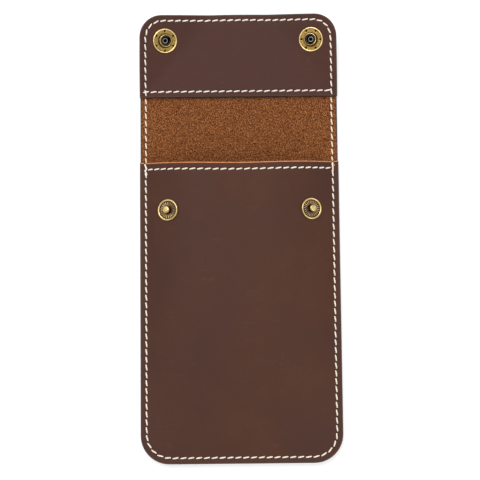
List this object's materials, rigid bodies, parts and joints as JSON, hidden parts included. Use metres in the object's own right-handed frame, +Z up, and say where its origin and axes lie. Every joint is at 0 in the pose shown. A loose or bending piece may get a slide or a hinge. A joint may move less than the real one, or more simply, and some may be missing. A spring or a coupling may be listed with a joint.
{
  "type": "watch travel pouch",
  "caption": "Flat leather travel pouch for a wrist watch: sewn pocket with a domed front, fold-over flap and a pair of snap fasteners, shown open.",
  "frame": {"origin": "on the surface that the back panel lies on, under the middle of the whole open length", "axes": "+Y from the closed bottom seam to the flap's free edge, +Z up out of the back panel, +X across the pouch to the right seen from above with the flap at the top"},
  "size_m": [0.08, 0.1814, 0.0129],
  "materials": {
    "outer_hide": "waxy dark brown, low gloss",
    "flap_lining": "smooth dark brown, low gloss",
    "thread": "waxed cream thread",
    "snap_metal": "antique brass, polished high spots",
    "spring_wire": "bright drawn wire"
  },
  "bodies": {
    "pocket": {"back_panel": "outer_hide", "front_panel": "outer_hide", "pocket_seam_thread": "thread", "pocket_mouth_thread": "thread", "stud_left": "snap_metal", "stud_right": "snap_metal", "stud_post_left": "snap_metal", "stud_post_right": "snap_metal"},
    "fold_1": {"fold_strip_1": "outer_hide"},
    "fold_2": {"fold_strip_2": "outer_hide"},
    "fold_3": {"fold_strip_3": "outer_hide"},
    "fold_4": {"fold_strip_4": "outer_hide"},
    "fold_5": {"fold_strip_5": "outer_hide"},
    "flap": {"flap_panel": "outer_hide", "flap_lining": "flap_lining", "flap_seam_thread": "thread", "flap_hem_thread": "thread", "cap_left": "snap_metal", "cap_right": "snap_metal", "socket_left": "snap_metal", "socket_right": "snap_metal", "socket_spring_left": "spring_wire", "socket_spring_right": "spring_wire"}
  },
  "joints": [
    {"name": "flap_fold", "type": "hinge", "parent": "pocket", "child": "fold_1", "pos_m": [0, 0.034, 0.0018], "axis": [1, 0, 0], "range_deg": [0, 30.82]},
    {"name": "fold_line_2", "type": "hinge", "parent": "fold_1", "child": "fold_2", "pos_m": [0, 0.0382, 0.0018], "axis": [1, 0, 0], "range_deg": [0, 30.82]},
    {"name": "fold_line_3", "type": "hinge", "parent": "fold_2", "child": "fold_3", "pos_m": [0, 0.0424, 0.0018], "axis": [1, 0, 0], "range_deg": [0, 30.82]},
    {"name": "fold_line_4", "type": "hinge", "parent": "fold_3", "child": "fold_4", "pos_m": [0, 0.0466, 0.0018], "axis": [1, 0, 0], "range_deg": [0, 30.82]},
    {"name": "fold_line_5", "type": "hinge", "parent": "fold_4", "child": "fold_5", "pos_m": [0, 0.0508, 0.0018], "axis": [1, 0, 0], "range_deg": [0, 30.82]},
    {"name": "fold_line_6", "type": "hinge", "parent": "fold_5", "child": "flap", "pos_m": [0, 0.055, 0.0018], "axis": [1, 0, 0], "range_deg": [0, 30.82]}
  ],
  "couplings": [
    {"joint": "fold_line_2", "follows": "flap_fold", "ratio": 1},
    {"joint": "fold_line_3", "follows": "flap_fold", "ratio": 1},
    {"joint": "fold_line_4", "follows": "flap_fold", "ratio": 1},
    {"joint": "fold_line_5", "follows": "flap_fold", "ratio": 1},
    {"joint": "fold_line_6", "follows": "flap_fold", "ratio": 1}
  ]
}
